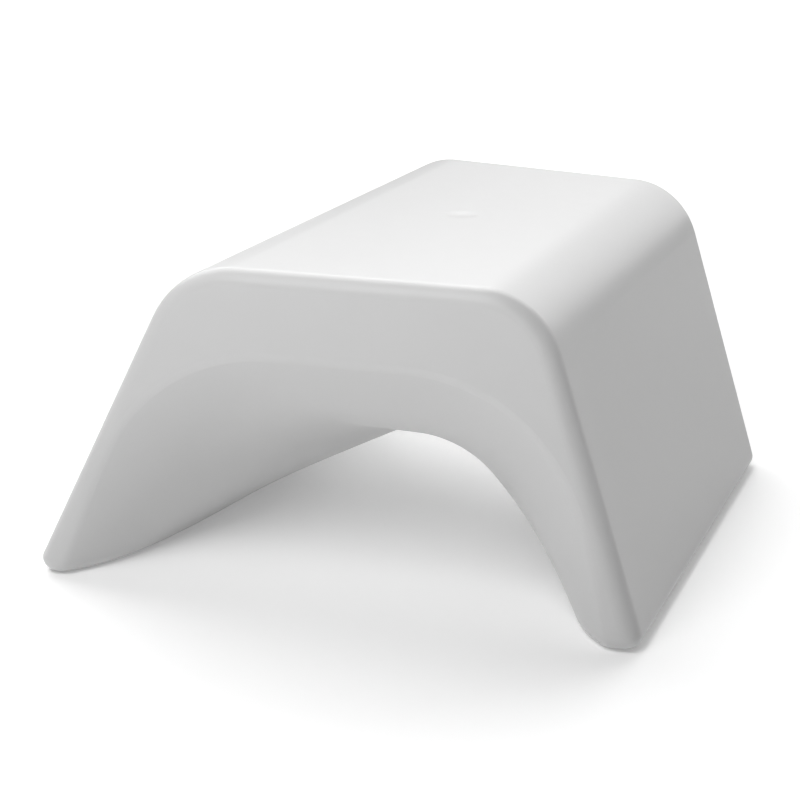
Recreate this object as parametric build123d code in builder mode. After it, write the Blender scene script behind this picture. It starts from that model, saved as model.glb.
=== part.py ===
from build123d import *
import os
from math import cos, hypot, radians, sqrt, tan

os.makedirs("parts", exist_ok=True)

# Casting, outside. All lengths in millimetres, angles in degrees.
seat_height = 350.0
seat_length = 662.0
seat_half_width = 202.0
floor_half_width = 347.0
end_lean = 83.0
end_taper = 6.6
long_edge_radius = 98.0
end_edge_radius = 21.0
foot_edge_radius = 12.0
wall = 5.0
glide_stand = 1.5

# Tunnel under the seat: its section half way through, and at both mouths, where a lip opens it quickly
runner_width = 126.0
neck_crown_half_width = 26.0
neck_height = 100.0
neck_crown_radius = 96.0
foot_width = 37.0
apron_depth = 88.0
mouth_crown_wall = 12.5
mouth_crown_radius = 205.0
mouth_edge_radius = 17.0
lip_spread = 41.0
lip_crown_spread = 36.0
lip_rise = 49.0
flare_power = 1.4
lip_power = 8.0
section_shares = (
    -1.06, -1, -0.93, -0.85, -0.75, -0.6, -0.4, -0.2, 0, 0.2, 0.4, 0.6, 0.75, 0.85, 0.93, 1, 1.06,
)

# Hollow cone that ties the seat to the tunnel roof, and the shallow mark it leaves on the seat
cone_head_radius = 20.0
cone_draft = 6.0
cone_rim_radius = 8.0
dish_radius = 21.0
dish_depth = 1.2

# Glides let into the runners, their countersunk screws and the hexagonal inserts in the casting
glide_radius = 18.0
glide_thickness = 5.0
glide_edge_radius = 1.5
glide_clearance = 0.4
glide_inset = 44.0
glide_share = 0.7
screw_radius = 2.5
screw_length = 14.0
screw_head_radius = 4.6
screw_head_sink = 1.2
screw_head_taper = 45.0
screw_socket_radius = 1.7
screw_socket_depth = 1.6
thread_clearance = 0.1
insert_half_width = 4.75
insert_length = 15.0
insert_bore_depth = 13.0
insert_groove_width = 4.0
insert_groove_depth = 0.9

# Vent under the left runner: its hole, the push-in plug and the ring seal
vent_radius = 9.0
vent_inset = 70.0
plug_clearance = 0.3
plug_wall = 2.0
plug_bead = 0.8
plug_bead_length = 2.5
plug_flange_radius = 14.0
plug_flange_thickness = 3.0
plug_edge_radius = 1.0
plug_slot_length = 18.0
plug_slot_width = 2.5
plug_slot_depth = 1.4
plug_sink = 1.5
seal_thickness = 1.5
seal_edge_radius = 0.4

overrun = 40.0

rake = end_lean / seat_height
side_slope = (floor_half_width - seat_half_width) / seat_height
neck_half_width = floor_half_width - runner_width
mouth_half_width = floor_half_width - foot_width
mouth_height = seat_height - apron_depth
mouth_crown_half_width = floor_half_width - side_slope * mouth_height - mouth_crown_wall
glide_offset = floor_half_width - glide_inset
vent_offset = floor_half_width - vent_inset
seat_middle = (end_lean + tan(radians(end_taper)) * (floor_half_width - seat_half_width)) / 2
screw_head_height = (screw_head_radius - screw_radius) / tan(radians(screw_head_taper))
insert_corner_radius = 2 * insert_half_width / sqrt(3)
plug_low = glide_stand + plug_sink
seal_low = plug_low + plug_flange_thickness
vent_low = seal_low + seal_thickness
vent_top = vent_low + wall


def taper_at(share):
    """Plan slope of the cross section at a share of the half length, -1 front to 1 back."""
    return -share * tan(radians(end_taper))


def leaning_plane(share, outwards=0.0):
    """Cross plane through the casting, leaning as the end faces do and turned in plan."""
    slope = taper_at(share)
    normal = Vector(slope, -1, rake).normalized()
    on_floor = Vector(0, seat_middle + share * seat_length / 2 - end_lean, 0)
    return Plane(origin=on_floor + normal * outwards, x_dir=(1, slope, 0), z_dir=normal)


def on_plane(share, x, z):
    """A point of a leaning section, given by its width and height, in that plane's own axes."""
    slope = taper_at(share)
    run = sqrt(1 + slope**2)
    reach = sqrt(1 + slope**2 + rake**2)
    return (run * x + z * rake * slope / run, z * reach / run)


def block(inset):
    """The casting without its tunnel, every face moved inwards by inset."""
    shift = inset * hypot(1, side_slope)
    top = seat_height - inset
    low = glide_stand + inset
    top_half = seat_half_width + side_slope * inset - shift
    low_half = floor_half_width - side_slope * low - shift
    with BuildPart() as body:
        with BuildSketch(Plane.XZ.offset(seat_length)):
            with BuildLine():
                FilletPolyline(
                    (-low_half, low), (-top_half, top), (top_half, top), (low_half, low),
                    radius=long_edge_radius - inset,
                )
                Line((-low_half, low), (low_half, low))
            make_face()
        extrude(amount=-2 * seat_length)
        split(bisect_by=leaning_plane(-1, -inset), keep=Keep.BOTTOM)
        split(bisect_by=leaning_plane(1, inset), keep=Keep.TOP)
        ends = body.faces().filter_by(GeomType.PLANE).sort_by(Axis.Y)
        rims = ends[0].edges().sort_by(Axis.Z)[1:] + ends[-1].edges().sort_by(Axis.Z)[1:]
        fillet(rims, end_edge_radius - inset)
    return body.part


def opened(share, neck, mouth, lip=0):
    """A size of the tunnel's section: it opens slowly towards the mouths, and its lip quickly there."""
    return neck + (mouth - lip - neck) * abs(share) ** flare_power + lip * abs(share) ** lip_power


def tunnel(growth):
    """The space under the seat, every face moved into the casting by growth."""
    with BuildPart() as space:
        for share in section_shares:
            half = opened(share, neck_half_width, mouth_half_width, lip_spread)
            crown_half = opened(share, neck_crown_half_width, mouth_crown_half_width, lip_crown_spread)
            height = opened(share, neck_height, mouth_height, lip_rise)
            radius = opened(share, neck_crown_radius, mouth_crown_radius)
            slope = (half - crown_half) / height
            shift = growth * hypot(1, slope)
            top = height + growth
            top_half = crown_half - slope * growth + shift
            low_half = half + slope * overrun + shift
            corners = [(-low_half, -overrun), (-top_half, top), (top_half, top), (low_half, -overrun)]
            with BuildSketch(leaning_plane(share)):
                with BuildLine():
                    FilletPolyline(*[on_plane(share, x, z) for x, z in corners], radius=radius + growth)
                    Line(on_plane(share, -low_half, -overrun), on_plane(share, low_half, -overrun))
                make_face()
        loft()
    return space.part


def casting(inset):
    """The whole form of the stool, every face moved inwards by inset."""
    outside = block(inset)
    space = tunnel(inset)
    with BuildPart() as form:
        add(outside)
        add(space, mode=Mode.SUBTRACT)
        mouths = form.edges(Select.NEW) - form.edges().group_by(Axis.Z)[0]
        fillet(mouths, mouth_edge_radius - inset)
        fillet(form.edges().group_by(Axis.Z)[0], foot_edge_radius - inset)
    return form.part


def ground_under(x, share):
    """Floor plane with its origin under a runner, at x and at a share of the half length."""
    return Plane(origin=(x, seat_middle + share * seat_length / 2 - end_lean + taper_at(share) * x, 0))


def disc(ground, radius, low, top):
    """An upright round block above a point of the floor."""
    with BuildPart() as block_of_disc:
        with BuildSketch(ground.offset(low)):
            Circle(radius)
        extrude(amount=top - low)
    return block_of_disc.part


def seat_cone(shrink, top):
    """The cone under the middle of the seat, its side moved inwards by shrink, up to a height."""
    flare = tan(radians(cone_draft))
    inwards = shrink / cos(radians(cone_draft))
    with BuildPart() as cone:
        with Locations((0, seat_middle, 0)):
            Cone(
                cone_head_radius + seat_height * flare - inwards,
                cone_head_radius + (seat_height - top) * flare - inwards,
                top,
                align=(Align.CENTER, Align.CENTER, Align.MIN),
            )
    return cone.part


def insert_form(ground):
    """Outside of a hexagonal threaded insert, with the groove that locks it in the casting."""
    with BuildPart() as form:
        with BuildSketch(ground.offset(glide_thickness)):
            RegularPolygon(insert_half_width, 6, major_radius=False)
        extrude(amount=insert_length)
        with BuildSketch(ground.offset(glide_thickness + (insert_length - insert_groove_width) / 2)):
            Circle(insert_corner_radius + insert_groove_depth)
            Circle(insert_half_width - insert_groove_depth, mode=Mode.SUBTRACT)
        extrude(amount=insert_groove_width, mode=Mode.SUBTRACT)
    return form.part


def glide_insert(ground):
    """The threaded insert with its blind bore, open below."""
    form = insert_form(ground)
    with BuildPart() as insert:
        add(form)
        with BuildSketch(ground.offset(glide_thickness)):
            Circle(screw_radius + thread_clearance)
        extrude(amount=insert_bore_depth, mode=Mode.SUBTRACT)
    return insert.part


def foot_glide(ground):
    """The disc that the stool stands on, countersunk from below."""
    with BuildPart() as glide:
        with BuildSketch(ground):
            Circle(glide_radius)
        extrude(amount=glide_thickness)
        fillet(glide.edges().group_by(Axis.Z)[0], glide_edge_radius)
        with BuildSketch(ground):
            Circle(screw_head_radius + thread_clearance)
        extrude(amount=screw_head_sink, mode=Mode.SUBTRACT)
        with BuildSketch(ground.offset(screw_head_sink)):
            Circle(screw_head_radius + thread_clearance)
        extrude(amount=screw_head_height, taper=screw_head_taper, mode=Mode.SUBTRACT)
        with BuildSketch(ground):
            Circle(screw_radius + thread_clearance)
        extrude(amount=glide_thickness, mode=Mode.SUBTRACT)
    return glide.part


def glide_screw(ground):
    """A countersunk screw with a hexagon socket, from the glide up into its insert."""
    with BuildPart() as screw:
        with BuildSketch(ground.offset(screw_head_sink)):
            Circle(screw_head_radius)
        extrude(amount=screw_head_height, taper=screw_head_taper)
        with BuildSketch(ground.offset(screw_head_sink)):
            Circle(screw_radius)
        extrude(amount=screw_length)
        with BuildSketch(ground.offset(screw_head_sink)):
            RegularPolygon(screw_socket_radius, 6)
        extrude(amount=screw_socket_depth, mode=Mode.SUBTRACT)
    return screw.part


corners = {
    "front_left": ground_under(-glide_offset, -glide_share),
    "front_right": ground_under(glide_offset, -glide_share),
    "back_left": ground_under(-glide_offset, glide_share),
    "back_right": ground_under(glide_offset, glide_share),
}
vent_ground = ground_under(-vent_offset, 0)

# Cavity of the casting: one wall inside the form, and clear of what the wall goes round
cavity_form = casting(wall)
solid_inside = [
    seat_cone(0, seat_height),
    disc(vent_ground, plug_flange_radius + plug_clearance + wall, 0, vent_top),
]
for ground in corners.values():
    solid_inside.append(disc(ground, glide_radius + glide_clearance + wall, 0, glide_thickness + wall))
    solid_inside.append(disc(ground, insert_corner_radius + wall, 0, glide_thickness + insert_length + wall))
with BuildPart() as cavity:
    add(cavity_form)
    add(solid_inside, mode=Mode.SUBTRACT)

# What is open from outside: the cone, the vent and the seats of the glides and inserts
outer_form = casting(0)
open_cone = seat_cone(wall, seat_height - 2 * wall)
open_below = [
    disc(vent_ground, plug_flange_radius + plug_clearance, 0, vent_low),
    disc(vent_ground, vent_radius, 0, vent_top),
]
for ground in corners.values():
    open_below.append(disc(ground, glide_radius + glide_clearance, 0, glide_thickness))
    open_below.append(insert_form(ground))
dish_ball_radius = (dish_radius**2 + dish_depth**2) / (2 * dish_depth)
with BuildPart() as seat_shell:
    add(outer_form)
    add(open_cone, mode=Mode.SUBTRACT)
    fillet(seat_shell.edges(Select.NEW), cone_rim_radius)
    add(cavity.part, mode=Mode.SUBTRACT)
    add(open_below, mode=Mode.SUBTRACT)
    with Locations((0, seat_middle, seat_height - dish_depth + dish_ball_radius)):
        Sphere(dish_ball_radius, mode=Mode.SUBTRACT)
seat_shell.part.label = "seat_shell"
export_step(seat_shell.part, "parts/seat_shell.step")

glide_makers = {"foot_glide": foot_glide, "glide_screw": glide_screw, "glide_insert": glide_insert}
for corner, ground in corners.items():
    for kind, make in glide_makers.items():
        piece = make(ground)
        piece.label = f"{kind}_{corner}"
        export_step(piece, f"parts/{piece.label}.step")

# Push-in plug: flange with a coin slot, hollow stem through the vent, bead that snaps in behind it
stem_radius = vent_radius - plug_clearance
bead_low = vent_top + plug_clearance
vent_upright = Plane(origin=vent_ground.origin, x_dir=(1, 0, 0), z_dir=(0, -1, 0))
with BuildPart() as vent_plug:
    with BuildSketch(vent_upright):
        with BuildLine():
            Polyline(
                (0, plug_low),
                (plug_flange_radius, plug_low),
                (plug_flange_radius, seal_low),
                (stem_radius, seal_low),
                (stem_radius, bead_low),
                (vent_radius + plug_bead, bead_low),
                (stem_radius - plug_bead, bead_low + plug_bead_length),
                (stem_radius - plug_wall, bead_low + plug_bead_length),
                (stem_radius - plug_wall, seal_low),
                (0, seal_low),
                close=True,
            )
        make_face()
    revolve(axis=Axis(vent_ground.origin, (0, 0, 1)))
    fillet(vent_plug.edges().group_by(Axis.Z)[0], plug_edge_radius)
    with BuildSketch(vent_ground.offset(plug_low)):
        SlotOverall(plug_slot_length, plug_slot_width)
    extrude(amount=plug_slot_depth, mode=Mode.SUBTRACT)
vent_plug.part.label = "vent_plug"
export_step(vent_plug.part, "parts/vent_plug.step")

with BuildPart() as vent_plug_seal:
    with BuildSketch(vent_ground.offset(seal_low)):
        Circle(plug_flange_radius)
        Circle(vent_radius + plug_clearance, mode=Mode.SUBTRACT)
    extrude(amount=seal_thickness)
    fillet(vent_plug_seal.edges(), seal_edge_radius)
vent_plug_seal.part.label = "vent_plug_seal"
export_step(vent_plug_seal.part, "parts/vent_plug_seal.step")
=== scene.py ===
import math

import bmesh
import bpy
from bpy.props import FloatProperty, FloatVectorProperty, PointerProperty
from bpy.types import Operator, Panel, PropertyGroup
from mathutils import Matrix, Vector

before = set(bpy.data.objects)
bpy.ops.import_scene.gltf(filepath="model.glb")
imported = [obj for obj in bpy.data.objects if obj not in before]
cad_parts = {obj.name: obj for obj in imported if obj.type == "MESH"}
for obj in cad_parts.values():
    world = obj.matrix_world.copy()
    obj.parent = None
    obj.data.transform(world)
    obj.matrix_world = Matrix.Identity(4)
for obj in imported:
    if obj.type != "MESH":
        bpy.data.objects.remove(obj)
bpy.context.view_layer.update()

bl_info = {
    "name": "Side stool",
    "version": (1, 0, 0),
    "blender": (4, 5, 0),
    "location": "View3D > Sidebar > Stool",
    "description": "Gives the moulded side stool its finishes and sets its stage",
    "category": "Object",
}

CORNERS = ("front_left", "front_right", "back_left", "back_right")

# Places of the colour sockets of a Mix node, whose names repeat those of its other kinds
MIX_DARK, MIX_LIGHT, MIX_RESULT = 6, 7, 2

# Small moulded pieces: tone of their darker patches, how much the gloss varies, grains to a patch
PLASTIC_SHADE = 0.94
PLASTIC_GLOSS_DEPTH = 0.12
PLASTIC_GRAINS = 20.0
PLASTIC_IOR = 1.5

# Turned metal: tone of its darker patches, how much the polish varies, lathe marks to a patch
METAL_SHADE = 0.85
METAL_GLOSS_DEPTH = 0.15
METAL_MARKS = 10.0

# Floor paint, and the distances in metres between which the far floor's glow grows
FLOOR_CLOUD_SCALE = 1.5
FLOOR_SHADE = 0.995
FLOOR_ROUGHNESS = 0.6
FLOOR_GLOSS_DEPTH = 0.02
GLOW_START = 1.0
GLOW_END = 3.5

# Far lights, each with its direction from the stool and its power, and the soft box near its front
SKY_LIGHTS = (
    ("back_left", (-1.0, 1.0, 1.2), 1.87),
    ("back", (0.0, 1.0, 0.5), 1.0),
    ("back_right", (0.5, 1.0, 0.5), 0.5),
    ("top_left", (-0.5, 0.0, 1.0), 0.34),
    ("front", (0.0, -1.0, 0.35), 0.2),
)
FRONT_BOX = ("front_box", (-0.3, -1.2, 1.8), 21.0)
STOOL_FOOT = (0.0, 0.0, 0.0)
STOOL_MIDDLE = (0.0, 0.0, 0.2)
WHITE = (1.0, 1.0, 1.0, 1.0)

SENSOR_WIDTH = 36.0
SIGHT_REACH = 200.0


class Socket:
    """A node's output that takes part in Python sums, each of which adds a Math node."""

    def __init__(self, graph, output):
        self.graph = graph
        self.output = output

    def __add__(self, other):
        return self.graph.sum("ADD", self, other)

    def __sub__(self, other):
        return self.graph.sum("SUBTRACT", self, other)

    def __rsub__(self, other):
        return self.graph.sum("SUBTRACT", other, self)

    def __mul__(self, other):
        return self.graph.sum("MULTIPLY", self, other)

    __radd__ = __add__
    __rmul__ = __mul__


class Finish:
    """A procedural material, built up node by node around one Principled shader."""

    def __init__(self, name):
        self.material = bpy.data.materials.new(name)
        self.material.use_nodes = True
        self.tree = self.material.node_tree
        self.tree.nodes.clear()
        self.shader = self.tree.nodes.new("ShaderNodeBsdfPrincipled")
        output = self.tree.nodes.new("ShaderNodeOutputMaterial")
        self.tree.links.new(self.shader.outputs["BSDF"], output.inputs["Surface"])
        self.place = self.add("ShaderNodeTexCoord", out="Object")

    def feed(self, target, value):
        """Links a socket, or sets a plain value, on a node's input."""
        if isinstance(value, Socket):
            self.tree.links.new(value.output, target)
        else:
            target.default_value = value

    def add(self, kind, settings=None, out=0, **inputs):
        """A new node: its settings are set first, then its inputs, named with underscores."""
        node = self.tree.nodes.new(kind)
        for name, value in (settings or {}).items():
            setattr(node, name, value)
        for name, value in inputs.items():
            self.feed(node.inputs[name.replace("_", " ")], value)
        return Socket(self, node.outputs[out])

    def sum(self, operation, first, second):
        """A Math node on two numbers or sockets."""
        node = self.tree.nodes.new("ShaderNodeMath")
        node.operation = operation
        self.feed(node.inputs[0], first)
        self.feed(node.inputs[1], second)
        return Socket(self, node.outputs[0])

    def noise(self, scale, detail=2.0, roughness=0.5):
        """Soft noise from 0 to 1 on the piece's own coordinates, in features per metre."""
        return self.add("ShaderNodeTexNoise", out="Fac", Vector=self.place,
                        Scale=scale, Detail=detail, Roughness=roughness)

    def ramp(self, value, low, high, to_low, to_high):
        """Value from low to high spread smoothly from to_low to to_high."""
        settings = {"interpolation_type": "SMOOTHSTEP"}
        return self.add("ShaderNodeMapRange", settings, Value=value, From_Min=low, From_Max=high,
                        To_Min=to_low, To_Max=to_high)

    def vary(self, base, mask, depth):
        """A value that the mask, from 0 to 1, moves up and down around its base."""
        return base + (mask - 0.5) * depth

    def tint(self, mask, colour, shade):
        """Colour that the mask takes from its shade, a share of it, to the full colour."""
        node = self.tree.nodes.new("ShaderNodeMix")
        node.data_type = "RGBA"
        self.feed(node.inputs["Factor"], mask)
        node.inputs[MIX_DARK].default_value = (*[channel * shade for channel in colour], 1.0)
        node.inputs[MIX_LIGHT].default_value = (*colour, 1.0)
        return Socket(self, node.outputs[MIX_RESULT])

    def bump(self, height, distance, under=None):
        """A normal raised by the height, up to a distance in metres, over another normal."""
        more = {"Normal": under} if under else {}
        return self.add("ShaderNodeBump", out="Normal", Height=height, Distance=distance,
                        Strength=1.0, **more)

    def set(self, **inputs):
        """Values or links of the shader's own sockets, named with underscores."""
        for name, value in inputs.items():
            self.feed(self.shader.inputs[name.replace("_", " ")], value)
        return self.material


def moulded_plastic(look):
    """Satin milky polyethylene from a heated mould: soft waves, a fine grain and a slight haze."""
    finish = Finish("moulded_plastic")
    cloud = finish.noise(look.cloud_scale, detail=3.0)
    wave = finish.noise(look.wave_scale, detail=1.0)
    grain = finish.noise(look.grain_scale, detail=3.0, roughness=0.6)
    haze = finish.noise(look.haze_scale, detail=4.0, roughness=0.6)
    gloss = finish.vary(look.shell_roughness, haze, look.haze_depth)
    waves = finish.bump(wave, look.wave_height)
    return finish.set(
        Base_Color=finish.tint(cloud, look.shell_colour, 1.0 - look.cloud_depth),
        Roughness=finish.vary(gloss, grain, look.haze_depth),
        Normal=finish.bump(grain, look.grain_height, under=waves),
        Specular_IOR_Level=look.shell_shine,
    )


def plain_plastic(name, colour, roughness, grain_scale, grain_height):
    """Small moulded piece: even colour, slightly uneven gloss and a fine grain."""
    finish = Finish(name)
    cloud = finish.noise(grain_scale / PLASTIC_GRAINS)
    grain = finish.noise(grain_scale, detail=3.0)
    return finish.set(
        Base_Color=finish.tint(cloud, colour, PLASTIC_SHADE),
        Roughness=finish.vary(roughness, grain, PLASTIC_GLOSS_DEPTH),
        Normal=finish.bump(grain, grain_height),
        IOR=PLASTIC_IOR,
    )


def turned_metal(name, colour, roughness, mark_scale, mark_height):
    """Turned metal: fine lathe marks that run round the piece and a slightly uneven polish."""
    finish = Finish(name)
    along = finish.add("ShaderNodeSeparateXYZ", out="Z", Vector=finish.place)
    marks = finish.add("ShaderNodeTexNoise", {"noise_dimensions": "1D"}, out="Fac",
                       W=along, Scale=mark_scale, Detail=2.0)
    polish = finish.noise(mark_scale / METAL_MARKS, detail=3.0)
    return finish.set(
        Base_Color=finish.tint(polish, colour, METAL_SHADE),
        Metallic=1.0,
        Roughness=finish.vary(roughness, polish, METAL_GLOSS_DEPTH),
        Normal=finish.bump(marks, mark_height),
    )


def floor_paint(stage):
    """Pale matt floor that glows faintly, and more where it is far from the stool."""
    finish = Finish("floor_paint")
    cloud = finish.noise(FLOOR_CLOUD_SCALE)
    reach = finish.add("ShaderNodeVectorMath", {"operation": "LENGTH"}, out="Value",
                       Vector=finish.place)
    far_glow = stage.floor_glow + stage.backdrop_glow
    return finish.set(
        Base_Color=finish.tint(cloud, stage.floor_colour, FLOOR_SHADE),
        Roughness=finish.vary(FLOOR_ROUGHNESS, cloud, FLOOR_GLOSS_DEPTH),
        Emission_Color=finish.ramp(reach, GLOW_START, GLOW_END, stage.floor_glow, far_glow),
        Emission_Strength=1.0,
    )


def clothe(node_name, material):
    """Gives a piece of the frame its material."""
    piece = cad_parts[node_name]
    piece.data.materials.clear()
    piece.data.materials.append(material)


def hang(name, kind, place, aim):
    """A lamp of a kind at a place, turned towards its aim; its size and power come after."""
    lamp = bpy.data.lights.new(name, kind)
    holder = bpy.data.objects.new(name, lamp)
    holder.location = place
    holder.rotation_euler = (Vector(aim) - Vector(place)).to_track_quat("-Z", "Y").to_euler()
    bpy.context.scene.collection.objects.link(holder)
    return lamp


class StoolLook(PropertyGroup):
    """Colours and surface of the stool's own pieces."""

    shell_colour: FloatVectorProperty(
        name="Shell colour", description="Milky white of the moulded shell",
        subtype="COLOR", default=(0.66, 0.66, 0.66), min=0.0, max=1.0,
    )
    shell_roughness: FloatProperty(
        name="Shell roughness", description="Roughness of the satin shell",
        default=0.36, min=0.0, max=1.0,
    )
    shell_shine: FloatProperty(
        name="Shell shine", description="Strength of the shell's reflections",
        default=0.33, min=0.0, max=1.0,
    )
    cloud_scale: FloatProperty(
        name="Cloud scale", description="Tone patches of the shell, per metre", default=5.0,
    )
    cloud_depth: FloatProperty(
        name="Cloud depth", description="How much darker the tone patches are", default=0.02,
    )
    wave_scale: FloatProperty(
        name="Wave scale", description="Slow waves left by the mould, per metre", default=9.0,
    )
    wave_height: FloatProperty(
        name="Wave height", description="Height of the slow waves",
        default=0.0006, subtype="DISTANCE", unit="LENGTH",
    )
    grain_scale: FloatProperty(
        name="Grain scale", description="Fine grain of the mould, per metre", default=700.0,
    )
    grain_height: FloatProperty(
        name="Grain height", description="Height of the fine grain",
        default=0.00004, subtype="DISTANCE", unit="LENGTH",
    )
    haze_scale: FloatProperty(
        name="Haze scale", description="Uneven gloss of the shell, per metre", default=40.0,
    )
    haze_depth: FloatProperty(
        name="Haze depth", description="How much the gloss varies", default=0.08,
    )
    glide_colour: FloatVectorProperty(
        name="Glide colour", description="Grey of the glides under the runners",
        subtype="COLOR", default=(0.55, 0.55, 0.54), min=0.0, max=1.0,
    )
    screw_colour: FloatVectorProperty(
        name="Screw colour", description="Bright steel of the glide screws",
        subtype="COLOR", default=(0.62, 0.62, 0.63), min=0.0, max=1.0,
    )
    insert_colour: FloatVectorProperty(
        name="Insert colour", description="Brass of the inserts in the runners",
        subtype="COLOR", default=(0.72, 0.52, 0.22), min=0.0, max=1.0,
    )
    plug_colour: FloatVectorProperty(
        name="Plug colour", description="Milky white of the vent plug",
        subtype="COLOR", default=(0.74, 0.74, 0.73), min=0.0, max=1.0,
    )
    seal_colour: FloatVectorProperty(
        name="Seal colour", description="Black rubber of the vent's ring seal",
        subtype="COLOR", default=(0.03, 0.03, 0.03), min=0.0, max=1.0,
    )


class StoolStage(PropertyGroup):
    """Floor, lights and camera."""

    floor_colour: FloatVectorProperty(
        name="Floor colour", description="Pale studio floor",
        subtype="COLOR", default=(0.95, 0.95, 0.95), min=0.0, max=1.0,
    )
    floor_glow: FloatProperty(
        name="Floor glow", description="Light that comes through the floor, as on a light table",
        default=0.15, min=0.0,
    )
    backdrop_glow: FloatProperty(
        name="Backdrop glow", description="How much more light the far floor gives, to stay white",
        default=0.3, min=0.0,
    )
    floor_reach: FloatProperty(
        name="Floor reach", description="Half the width of the floor",
        default=60.0, subtype="DISTANCE", unit="LENGTH",
    )
    light_level: FloatProperty(
        name="Light level", description="Strength of all lamps together", default=1.0, min=0.0,
    )
    sky_spread: FloatProperty(
        name="Sky spread", description="How wide a cone each far, soft light fills",
        subtype="ANGLE", unit="ROTATION", default=math.radians(50.0),
    )
    box_size: FloatProperty(
        name="Box size", description="Width of the soft box in front of the stool",
        default=1.2, subtype="DISTANCE", unit="LENGTH",
    )
    room_light: FloatProperty(
        name="Room light", description="Strength of the even light from all round",
        default=0.0, min=0.0,
    )
    camera_place: FloatVectorProperty(
        name="Camera place", description="Where the camera stands",
        subtype="TRANSLATION", unit="LENGTH", default=(0.6935, -1.7488, 0.7921),
    )
    camera_pitch: FloatProperty(
        name="Camera pitch", description="How far the camera looks down",
        subtype="ANGLE", unit="ROTATION", default=math.radians(19.529),
    )
    camera_yaw: FloatProperty(
        name="Camera yaw", description="How far the camera is turned to the left",
        subtype="ANGLE", unit="ROTATION", default=math.radians(23.359),
    )
    camera_lens: FloatProperty(
        name="Lens", description="Focal length on a 36 mm wide sensor",
        default=72.092, subtype="DISTANCE_CAMERA",
    )


class STOOL_OT_shell(Operator):
    """Give the moulded shell its milky satin finish."""

    bl_idname = "stool.shell"
    bl_label = "Shell"

    def execute(self, context):
        clothe("seat_shell", moulded_plastic(context.scene.stool_look))
        return {"FINISHED"}


class STOOL_OT_glides(Operator):
    """Give the glides under the runners, their screws and inserts their finishes."""

    bl_idname = "stool.glides"
    bl_label = "Glides, screws and inserts"

    def execute(self, context):
        look = context.scene.stool_look
        nylon = plain_plastic("glide_nylon", look.glide_colour, roughness=0.55,
                              grain_scale=900.0, grain_height=0.00003)
        steel = turned_metal("screw_steel", look.screw_colour, roughness=0.32,
                             mark_scale=3000.0, mark_height=0.00002)
        brass = turned_metal("insert_brass", look.insert_colour, roughness=0.35,
                             mark_scale=2500.0, mark_height=0.00003)
        for corner in CORNERS:
            clothe(f"foot_glide_{corner}", nylon)
            clothe(f"glide_screw_{corner}", steel)
            clothe(f"glide_insert_{corner}", brass)
        return {"FINISHED"}


class STOOL_OT_vent(Operator):
    """Give the vent plug and its ring seal their finishes."""

    bl_idname = "stool.vent"
    bl_label = "Vent plug and seal"

    def execute(self, context):
        look = context.scene.stool_look
        plastic = plain_plastic("plug_plastic", look.plug_colour, roughness=0.5,
                                grain_scale=900.0, grain_height=0.00003)
        rubber = plain_plastic("seal_rubber", look.seal_colour, roughness=0.7,
                               grain_scale=1200.0, grain_height=0.00004)
        clothe("vent_plug", plastic)
        clothe("vent_plug_seal", rubber)
        return {"FINISHED"}


class STOOL_OT_stage(Operator):
    """Lay the floor, hang the lights and set up the camera."""

    bl_idname = "stool.stage"
    bl_label = "Stage"

    def execute(self, context):
        stage = context.scene.stool_stage
        scene = context.scene
        shape = bmesh.new()
        bmesh.ops.create_grid(shape, x_segments=1, y_segments=1, size=stage.floor_reach)
        mesh = bpy.data.meshes.new("studio_floor")
        shape.to_mesh(mesh)
        shape.free()
        mesh.materials.append(floor_paint(stage))
        floor = bpy.data.objects.new("studio_floor", mesh)
        scene.collection.objects.link(floor)

        world = bpy.data.worlds.new("studio")
        world.use_nodes = True
        surround = world.node_tree.nodes["Background"]
        surround.inputs["Color"].default_value = WHITE
        surround.inputs["Strength"].default_value = stage.room_light
        scene.world = world
        for name, towards, power in SKY_LIGHTS:
            lamp = hang(name, "SUN", towards, STOOL_FOOT)
            lamp.angle = stage.sky_spread
            lamp.energy = power * stage.light_level
        name, place, power = FRONT_BOX
        lamp = hang(name, "AREA", place, STOOL_MIDDLE)
        lamp.shape = "SQUARE"
        lamp.size = stage.box_size
        lamp.energy = power * stage.light_level

        lens = bpy.data.cameras.new("photo_camera")
        lens.sensor_width = SENSOR_WIDTH
        lens.lens = stage.camera_lens
        lens.clip_end = SIGHT_REACH
        camera = bpy.data.objects.new("photo_camera", lens)
        camera.location = stage.camera_place
        camera.rotation_euler = (math.pi / 2 - stage.camera_pitch, 0.0, stage.camera_yaw)
        scene.collection.objects.link(camera)
        scene.camera = camera
        scene.view_settings.view_transform = "Standard"
        return {"FINISHED"}


class STOOL_PT_panel(Panel):
    """Lists the stool's looks and its stage."""

    bl_idname = "STOOL_PT_panel"
    bl_label = "Side stool"
    bl_space_type = "VIEW_3D"
    bl_region_type = "UI"
    bl_category = "Stool"

    def draw(self, context):
        for group in (context.scene.stool_look, context.scene.stool_stage):
            box = self.layout.box()
            for name in group.bl_rna.properties.keys():
                if name not in {"rna_type", "name"}:
                    box.prop(group, name)
        for operator in OPERATORS:
            self.layout.operator(operator.bl_idname)


OPERATORS = (STOOL_OT_shell, STOOL_OT_glides, STOOL_OT_vent, STOOL_OT_stage)
CLASSES = (StoolLook, StoolStage, *OPERATORS, STOOL_PT_panel)


def register():
    for kind in CLASSES:
        bpy.utils.register_class(kind)
    bpy.types.Scene.stool_look = PointerProperty(type=StoolLook)
    bpy.types.Scene.stool_stage = PointerProperty(type=StoolStage)


def unregister():
    del bpy.types.Scene.stool_stage
    del bpy.types.Scene.stool_look
    for kind in reversed(CLASSES):
        bpy.utils.unregister_class(kind)


def main():
    register()
    bpy.ops.stool.shell()
    bpy.ops.stool.glides()
    bpy.ops.stool.vent()
    bpy.ops.stool.stage()


if __name__ == "__main__":
    main()
